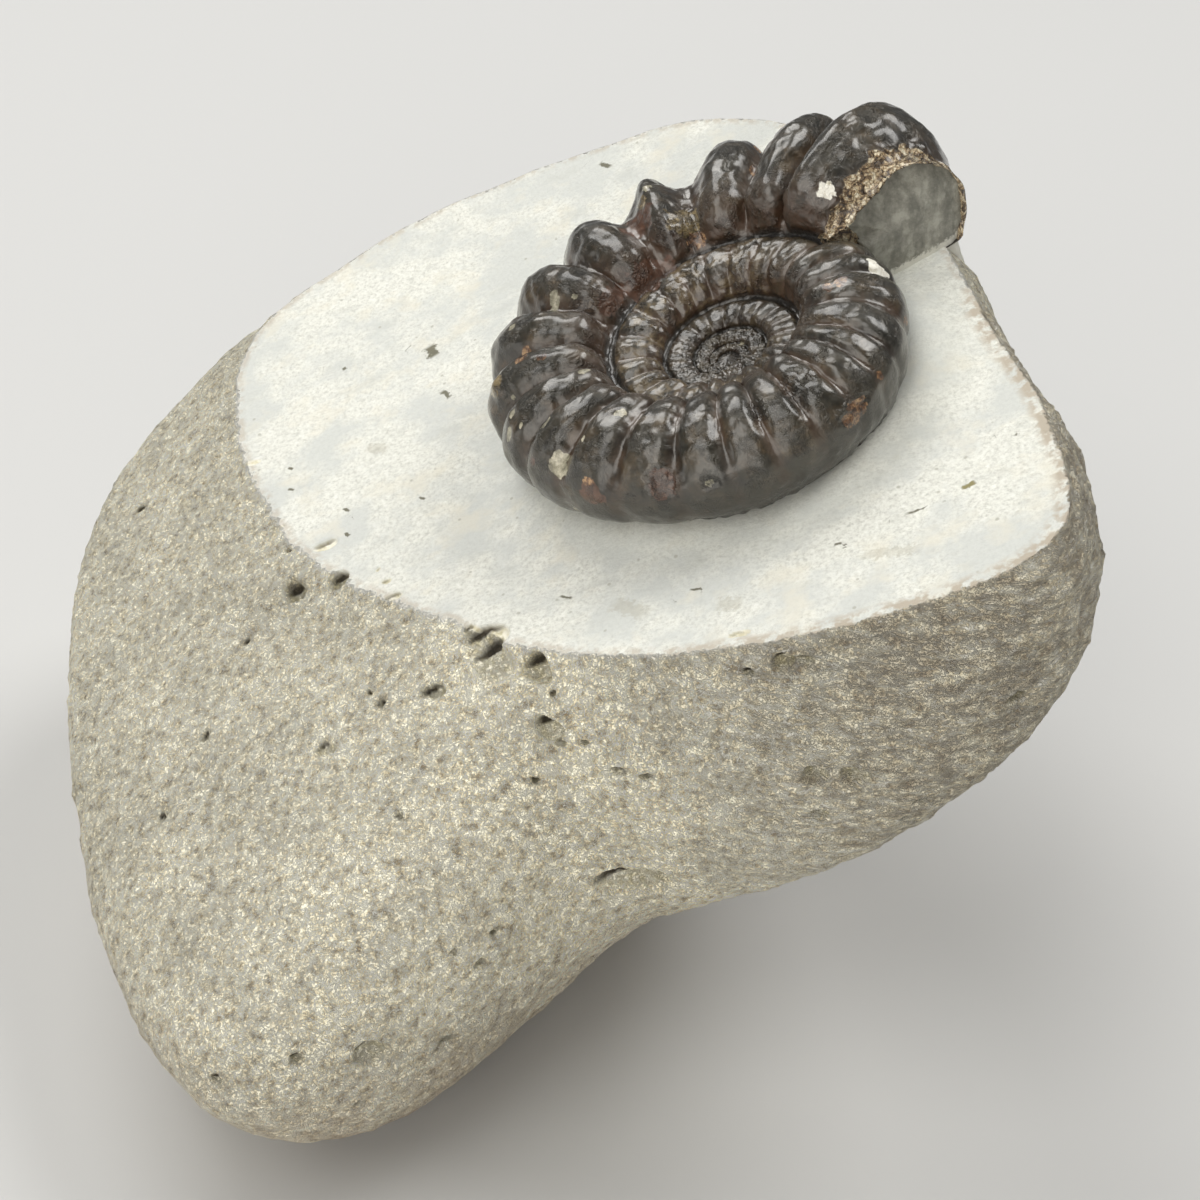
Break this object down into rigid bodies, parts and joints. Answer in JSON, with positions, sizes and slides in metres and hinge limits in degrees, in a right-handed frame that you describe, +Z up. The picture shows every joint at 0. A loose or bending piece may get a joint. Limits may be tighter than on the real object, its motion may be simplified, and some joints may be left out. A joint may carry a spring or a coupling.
{
  "type": "fossil ammonite in matrix",
  "caption": "Ribbed coiled fossil shell standing proud of the ground face of a rounded limestone cobble, resting on a small flat spot underneath.",
  "frame": {"origin": "middle of the footprint of the whole specimen, on the surface that it rests on", "axes": "+Z up, +X to the right and +Y away, as the specimen is seen from its front; the ground face leans 20 degrees to -X and 10 degrees to -Y"},
  "size_m": [0.0973, 0.1011, 0.0803],
  "materials": {
    "grey_limestone": "matt, sandy and pitted, with a paler smooth ground face",
    "brown_calcite": "polished dark calcite shell, glossy"
  },
  "bodies": {
    "root": {"matrix_stone": "grey_limestone", "ammonite": "brown_calcite"}
  },
  "joints": []
}
